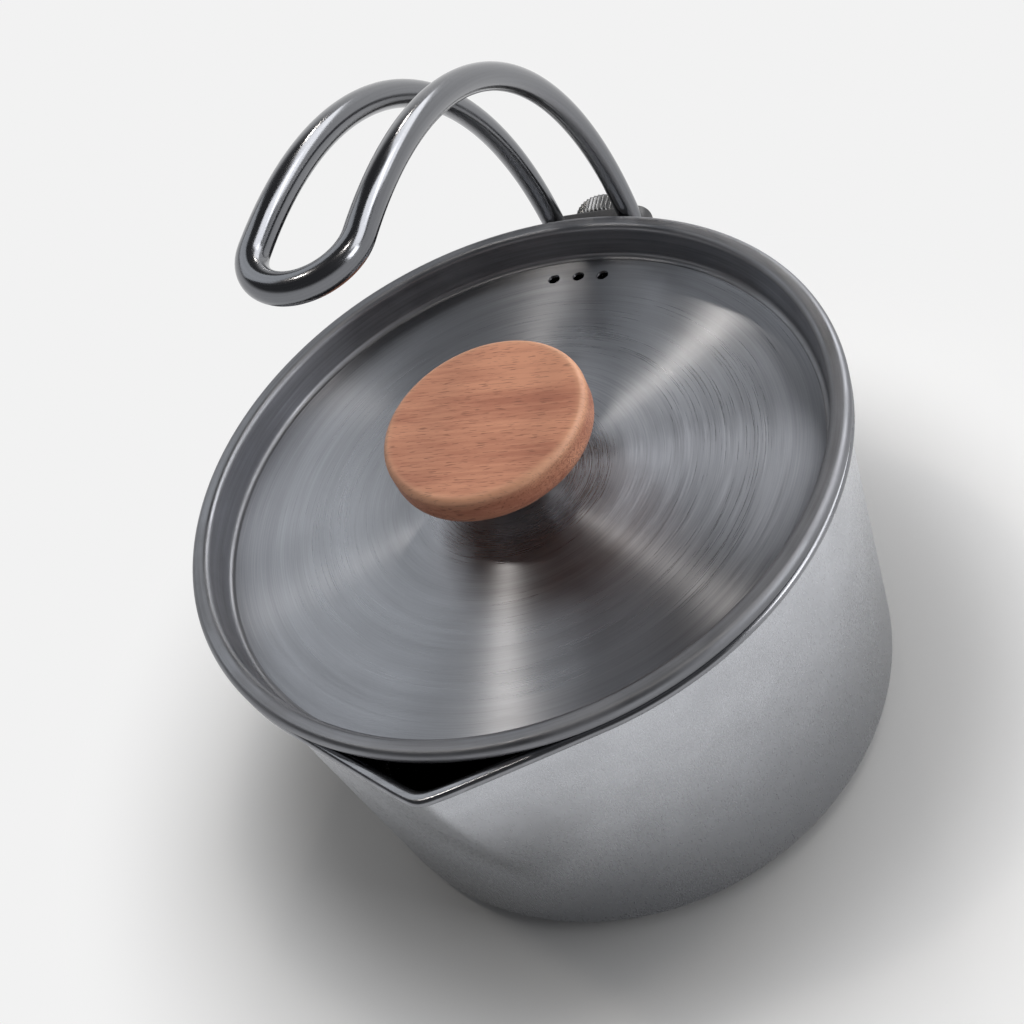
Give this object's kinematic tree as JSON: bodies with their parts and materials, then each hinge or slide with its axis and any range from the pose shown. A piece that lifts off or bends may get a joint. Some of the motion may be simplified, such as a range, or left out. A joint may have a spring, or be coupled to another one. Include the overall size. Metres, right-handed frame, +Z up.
{
  "type": "camp cooking pot",
  "caption": "Round steel camp pot with a pouring lip, a recessed lid with a wooden knob, and a folding wire handle that arches over the top.",
  "frame": {"origin": "centre of the flat base, on the pot's axis", "axes": "+Z up along the pot's axis, +Y towards the handle's hinge, -Y towards the pouring lip"},
  "size_m": [0.15, 0.186, 0.1741],
  "materials": {
    "pot_steel": "satin drawn stainless steel",
    "lid_steel": "circular brushed stainless steel",
    "wire_steel": "polished stainless steel wire",
    "bracket_steel": "pressed stainless steel sheet",
    "hub_black": "satin black casting",
    "fastener_steel": "turned stainless steel",
    "washer_fibre": "dark friction disc",
    "knob_wood": "oiled beech",
    "insert_brass": "turned brass",
    "seal_rubber": "silicone"
  },
  "bodies": {
    "pot": {"pot_shell": "pot_steel", "handle_bracket": "bracket_steel", "bracket_nut": "fastener_steel", "friction_washer": "washer_fibre"},
    "handle": {"handle_hub": "hub_black", "handle_wire": "wire_steel"},
    "washer": {"screw_washer": "fastener_steel"},
    "screw": {"thumb_screw": "fastener_steel"},
    "lid": {"lid_disc": "lid_steel", "knob_spacer": "fastener_steel", "lid_knob": "knob_wood", "knob_insert": "insert_brass", "knob_screw": "fastener_steel", "knob_seal": "seal_rubber"}
  },
  "joints": [
    {"name": "lid_lift", "type": "slide", "parent": "pot", "child": "lid", "axis": [0, 0, 1], "range_m": [0, 0.024]},
    {"name": "handle_fold", "type": "hinge", "parent": "pot", "child": "handle", "pos_m": [0, 0.09139, 0.065], "axis": [0, 1, 0], "range_deg": [-90, 90]},
    {"name": "screw_travel", "type": "slide", "parent": "pot", "child": "washer", "axis": [0, 1, 0], "range_m": [0, 0.002]},
    {"name": "screw_turn", "type": "hinge", "parent": "washer", "child": "screw", "pos_m": [0, 0.09639, 0.065], "axis": [0, 1, 0], "range_deg": [0, 720]}
  ],
  "couplings": [
    {"joint": "screw_turn", "follows": "screw_travel", "rad_per_m": 6283.2}
  ]
}
